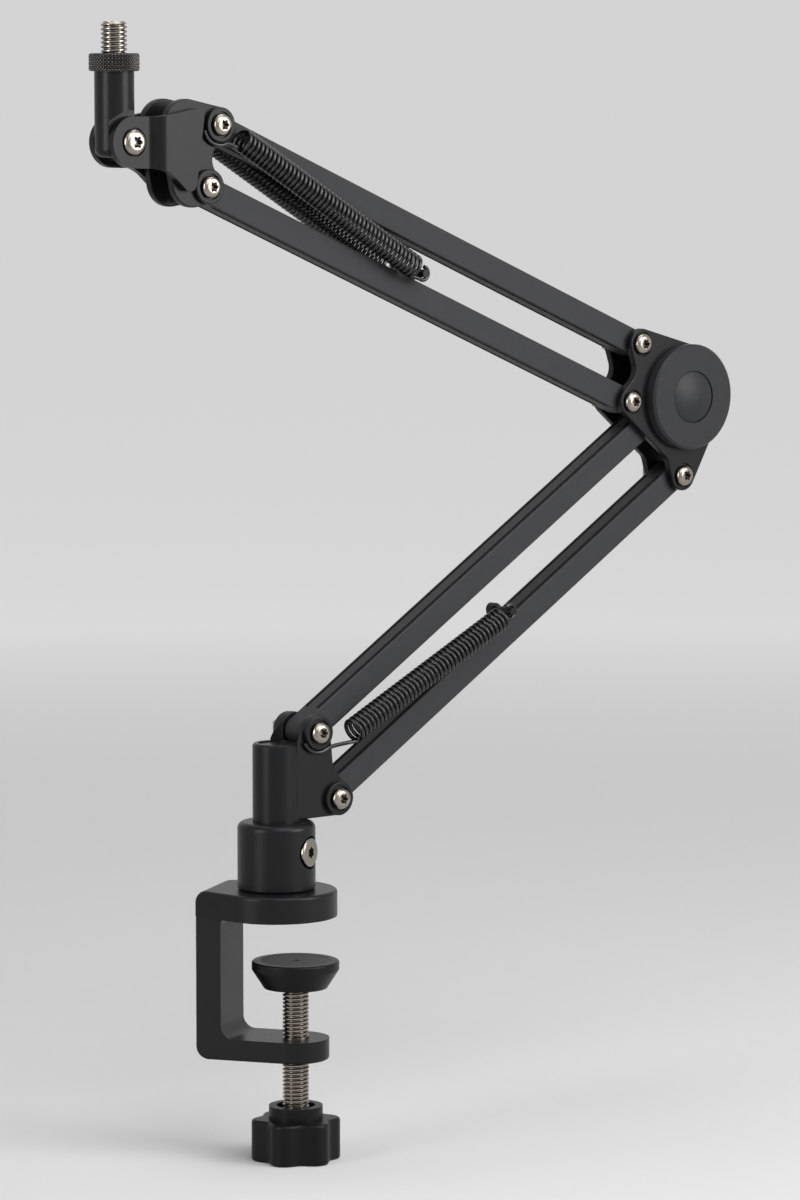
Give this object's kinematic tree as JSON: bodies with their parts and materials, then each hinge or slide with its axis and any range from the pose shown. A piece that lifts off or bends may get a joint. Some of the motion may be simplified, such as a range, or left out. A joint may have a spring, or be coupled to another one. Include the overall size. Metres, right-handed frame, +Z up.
{
  "type": "microphone boom arm",
  "caption": "Desk-clamped boom arm with two spring-assisted parallel-bar arms, a swivelling post and a tilting threaded stud that holds a microphone.",
  "frame": {"origin": "on the clamp screw's axis at the underside of the upper jaw, where the desk top bears", "axes": "+Z up, +X along the jaws towards their open end, +Y to the rear"},
  "size_m": [0.179, 0.2626, 0.4271],
  "materials": {
    "coated_steel": "satin black powder coat",
    "coated_aluminium": "fine-textured black powder coat",
    "knurled_ring": "black oxide, knurled",
    "spring_wire": "glossy black spring wire",
    "bright_steel": "bright nickel plate",
    "moulded_plastic": "satin black moulded plastic",
    "nylon": "black nylon",
    "rubber": "black rubber"
  },
  "bodies": {
    "clamp_body": {"c_clamp_frame": "coated_steel", "socket_collar": "coated_steel", "collar_bolt": "bright_steel", "collar_set_screw": "bright_steel", "thrust_washer": "nylon"},
    "pad_body": {"clamp_pad": "moulded_plastic", "pad_rubber_face": "rubber"},
    "screw_body": {"clamp_screw": "bright_steel", "clamp_knob": "moulded_plastic"},
    "post_body": {"post": "coated_steel", "post_cap": "coated_steel", "base_front_plate": "coated_steel", "base_rear_plate": "coated_steel", "base_pivot_screws": "bright_steel", "base_pivot_nuts": "bright_steel", "base_boss_washers": "coated_steel"},
    "lower_arm_body": {"lower_arm_lower_bar": "coated_aluminium", "lower_arm_lower_bar_bushes": "nylon", "lower_spring_tab": "coated_steel", "lower_spring_pin": "coated_steel"},
    "lower_link_body": {"lower_arm_upper_bar": "coated_aluminium", "lower_arm_upper_bar_bushes": "nylon", "lower_spring": "spring_wire"},
    "elbow_body": {"elbow_front_plate": "coated_steel", "elbow_rear_plate": "coated_steel", "elbow_front_cover": "moulded_plastic", "elbow_rear_cover": "moulded_plastic", "elbow_front_cap": "moulded_plastic", "elbow_rear_cap": "moulded_plastic", "elbow_hub_spacer": "bright_steel", "elbow_tie_bolt": "bright_steel", "elbow_tie_nut": "bright_steel", "elbow_pivot_screws": "bright_steel", "elbow_pivot_nuts": "bright_steel", "elbow_hidden_pin": "bright_steel"},
    "upper_arm_body": {"upper_arm_lower_bar": "coated_aluminium", "upper_arm_lower_bar_bushes": "nylon", "upper_spring_tab": "coated_steel", "upper_spring_pin": "coated_steel"},
    "upper_link_body": {"upper_arm_upper_bar": "coated_aluminium", "upper_arm_upper_bar_bushes": "nylon", "upper_front_spring": "spring_wire", "upper_rear_spring": "spring_wire"},
    "head_body": {"head_front_plate": "coated_steel", "head_rear_plate": "coated_steel", "head_front_cheek": "coated_steel", "head_rear_cheek": "coated_steel", "head_pivot_screws": "bright_steel", "head_pivot_nuts": "bright_steel", "head_boss_washers": "coated_steel", "stem_pivot_screw": "bright_steel", "stem_pivot_nut": "bright_steel"},
    "stem_body": {"mic_stem": "coated_steel", "mic_stud": "bright_steel"},
    "ring_body": {"lock_ring": "knurled_ring"}
  },
  "joints": [
    {"name": "clamp_travel", "type": "slide", "parent": "clamp_body", "child": "pad_body", "axis": [0, 0, 1], "range_m": [-0.0165, 0.016]},
    {"name": "knob_turn", "type": "hinge", "parent": "pad_body", "child": "screw_body", "pos_m": [0, 0, -0.06], "axis": [0, 0, 1], "continuous": true},
    {"name": "post_swivel", "type": "hinge", "parent": "clamp_body", "child": "post_body", "pos_m": [-0.0075, 0, 0.03], "axis": [0, 0, 1], "continuous": true},
    {"name": "lower_arm_pitch", "type": "hinge", "parent": "post_body", "child": "lower_arm_body", "pos_m": [0.00475, 0.01901, 0.0432], "axis": [0.8406, -0.5417, 0], "range_deg": [-12, 37], "deforming": ["lower_spring"]},
    {"name": "lower_link", "type": "hinge", "parent": "post_body", "child": "lower_link_body", "pos_m": [-0.0005, 0.01086, 0.0689], "axis": [0.8406, -0.5417, 0], "range_deg": [-12, 37]},
    {"name": "elbow_level", "type": "hinge", "parent": "lower_arm_body", "child": "elbow_body", "pos_m": [0.10003, 0.16685, 0.15611], "axis": [0.8406, -0.5417, 0], "range_deg": [-37, 12]},
    {"name": "upper_arm_pitch", "type": "hinge", "parent": "elbow_body", "child": "upper_arm_body", "pos_m": [0.08524, 0.1439, 0.18651], "axis": [-0.8406, 0.5417, 0], "range_deg": [-12, 38], "deforming": ["upper_front_spring", "upper_rear_spring"]},
    {"name": "upper_link", "type": "hinge", "parent": "elbow_body", "child": "upper_link_body", "pos_m": [0.088, 0.14819, 0.20901], "axis": [-0.8406, 0.5417, 0], "range_deg": [-12, 38]},
    {"name": "head_level", "type": "hinge", "parent": "upper_arm_body", "child": "head_body", "pos_m": [-0.02786, -0.0316, 0.27406], "axis": [-0.8406, 0.5417, 0], "range_deg": [-38, 12]},
    {"name": "stem_tilt", "type": "hinge", "parent": "head_body", "child": "stem_body", "pos_m": [-0.04536, -0.05875, 0.29056], "axis": [-0.8406, 0.5417, 0], "range_deg": [-115, 5]},
    {"name": "lock_ring_travel", "type": "slide", "parent": "stem_body", "child": "ring_body", "axis": [0, 0, 1], "range_m": [0, 0.006]}
  ],
  "couplings": [
    {"joint": "lower_link", "follows": "lower_arm_pitch", "ratio": 1},
    {"joint": "elbow_level", "follows": "lower_arm_pitch", "ratio": -1},
    {"joint": "upper_link", "follows": "upper_arm_pitch", "ratio": 1},
    {"joint": "head_level", "follows": "upper_arm_pitch", "ratio": -1}
  ]
}
